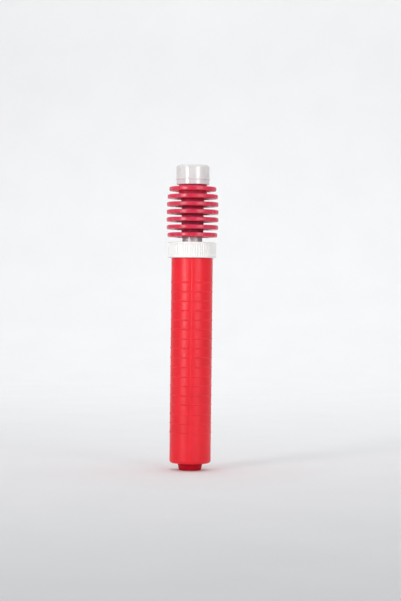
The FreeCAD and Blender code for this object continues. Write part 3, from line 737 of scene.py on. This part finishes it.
def cap():
    bottom = low("cap")
    top = high("cap")
    band = bottom + CAP_BAND_HEIGHT
    bead = radius("cap")
    bead_top = band + CAP_BEAD_HEIGHT
    roof = top - CAP_WALL
    inner = CAP_TOP_RADIUS - CAP_WALL
    corners = [
        (CAP_GRIP_RADIUS, bottom, 0.3 * MM),
        (CAP_BAND_RADIUS, bottom, 0.4 * MM),
        (CAP_BAND_RADIUS, band, 0.15 * MM),
        (bead, band + 0.25 * MM, 0.2 * MM),
        (bead, bead_top - 0.3 * MM, 0.25 * MM),
        (CAP_RADIUS, bead_top, 0.2 * MM),
        (CAP_TOP_RADIUS, top, 1.8 * MM),
        (GATE_RADIUS, top, 0.1 * MM),
        (GATE_RADIUS * 0.9, top - GATE_DEPTH, 0.08 * MM),
        (GATE_RADIUS * 0.4, top - GATE_DEPTH, 0.05 * MM),
        (GATE_RADIUS * 0.3, top - GATE_DEPTH * 0.4, 0.05 * MM),
        (0.0, top - GATE_DEPTH * 0.3, 0),
        (0.0, roof, 0),
        (inner, roof, 0.8 * MM),
        (inner, band + 0.6 * MM, 0.2 * MM),
        (CAP_GRIP_RADIUS, band, 0.2 * MM),
    ]
    stand_for(turned("cap_moulded", rounded(corners, 6), even_angles(144)), "cap", "cap")


# ---------------------------------------------------------------- stage, lights and camera

WALL_AT = 1.6
WALL_HEIGHT = 1.8
WALL_BEND = 0.5
FLOOR_REACH = 30.0
BEND_STEPS = 12


def studio():
    """A wide pale floor that sweeps up into a wall behind."""
    start = WALL_AT - WALL_BEND
    line = [(-FLOOR_REACH, 0.0), (start, 0.0)]
    for step in range(1, BEND_STEPS + 1):
        turn = math.pi / 2 * step / BEND_STEPS
        line.append((start + WALL_BEND * math.sin(turn), WALL_BEND * (1 - math.cos(turn))))
    line.append((WALL_AT, WALL_HEIGHT))
    verts = [(x, y, z) for y, z in line for x in (-FLOOR_REACH, FLOOR_REACH)]
    faces = [(2 * i, 2 * i + 1, 2 * i + 3, 2 * i + 2) for i in range(len(line) - 1)]
    mesh = bpy.data.meshes.new("studio_sweep")
    mesh.from_pydata(verts, [], faces)
    mesh.polygons.foreach_set("use_smooth", [True] * len(mesh.polygons))
    sweep = bpy.data.objects.new("studio_sweep", mesh)
    bpy.context.scene.collection.objects.link(sweep)
    shader = Shader("pale_paper")
    tone = shader.mix(shader.noise(14, 4), grey(0.82), grey(0.87))
    shader.feed("Base Color", tone)
    shader.surface.inputs["Roughness"].default_value = 0.9
    mesh.materials.append(shader.material)


def softbox(name, place, aim, size, power, spread=180):
    """A rectangular area light. Its beam is spread degrees wide and fades towards the sides."""
    data = bpy.data.lights.new(name, "AREA")
    data.shape = "RECTANGLE"
    data.size, data.size_y = size
    data.energy = power
    data.spread = math.radians(spread)
    light = bpy.data.objects.new(name, data)
    light.location = place
    light.rotation_euler = (Vector(aim) - Vector(place)).to_track_quat("-Z", "Y").to_euler()
    bpy.context.scene.collection.objects.link(light)


def lights():
    world = bpy.data.worlds.new("studio")
    world.use_nodes = True
    world.node_tree.nodes["Background"].inputs["Color"].default_value = (0.92, 0.95, 1.0, 1)
    world.node_tree.nodes["Background"].inputs["Strength"].default_value = 0.34
    bpy.context.scene.world = world
    softbox("key", (-0.60, -0.72, 0.46), (0, 0, 0.42), (0.28, 0.8), 1.10, 68)
    softbox("front", (0.57, -0.79, 0.44), (0, 0, 0.40), (0.5, 0.7), 0.76, 68)
    softbox("overhead", (0, 0, 3), (0, 0, 0), (9, 9), 105)
    softbox("wall", (0, 0.55, 1.5), (0, WALL_AT, 0.2), (2.4, 0.5), 9, 140)
    softbox("left_strip", (-0.8, 0.12, 0.55), (0, 0, 0.25), (0.3, 0.8), 0.12, 110)
    softbox("right_strip", (0.8, 0.2, 0.55), (0, 0, 0.25), (0.3, 0.8), 0.18, 110)


CAMERA_DISTANCE = 1.1
CAMERA_HEIGHT = 0.1108
CAMERA_SIDE = 0.00576
CAMERA_ROLL = -0.61
LENS = 100.8


def camera():
    data = bpy.data.cameras.new("camera")
    data.lens = LENS
    data.sensor_width = 36
    data.clip_start = 0.01
    eye = bpy.data.objects.new("camera", data)
    eye.location = (CAMERA_SIDE, -CAMERA_DISTANCE, CAMERA_HEIGHT)
    eye.rotation_euler = (math.pi / 2, math.radians(CAMERA_ROLL), 0)
    bpy.context.scene.collection.objects.link(eye)
    bpy.context.scene.camera = eye
    bpy.context.scene.view_settings.view_transform = "Standard"


# ---------------------------------------------------------------- build

for node, slot_name in SLOT_OF.items():
    finish_with(NODES[node], slot_name)
barrel()
foot_seam("foot_seam_front", -1)
foot_seam("foot_seam_back", 1)
collar()
valve_spring("delivery_coil", "delivery_spring")
valve_spring("outlet_coil", "outlet_spring")
grip()
outlet_insert()
cap()
studio()
lights()
camera()
